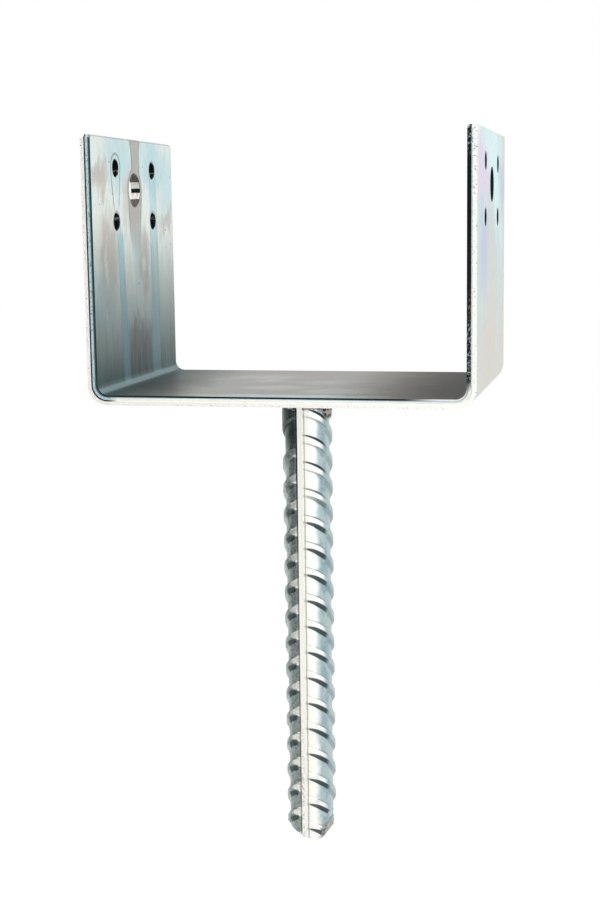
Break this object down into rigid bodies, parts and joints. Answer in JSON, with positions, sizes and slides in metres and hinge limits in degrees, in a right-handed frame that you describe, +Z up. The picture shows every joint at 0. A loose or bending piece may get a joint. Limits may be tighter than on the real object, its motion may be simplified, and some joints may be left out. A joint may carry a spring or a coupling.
{
  "type": "timber post base",
  "caption": "Folded U-shaped steel saddle that bolts round the foot of a square timber post, welded to a ribbed bar that is cast into concrete.",
  "frame": {"origin": "centre of the seat, the upper face of the folded strip that the post stands on", "axes": "+Z up out of the seat, along the ears; X across the two ears; Y along the strip's width"},
  "size_m": [0.159, 0.11, 0.3082],
  "materials": {
    "strip": "zinc plated, blue passivated, drip stained",
    "bar": "zinc plated, blue passivated",
    "weld": "zinc plated over weld metal, darker"
  },
  "bodies": {
    "root": {"saddle": "strip", "anchor_bar": "bar", "weld_collar": "weld"}
  },
  "joints": []
}
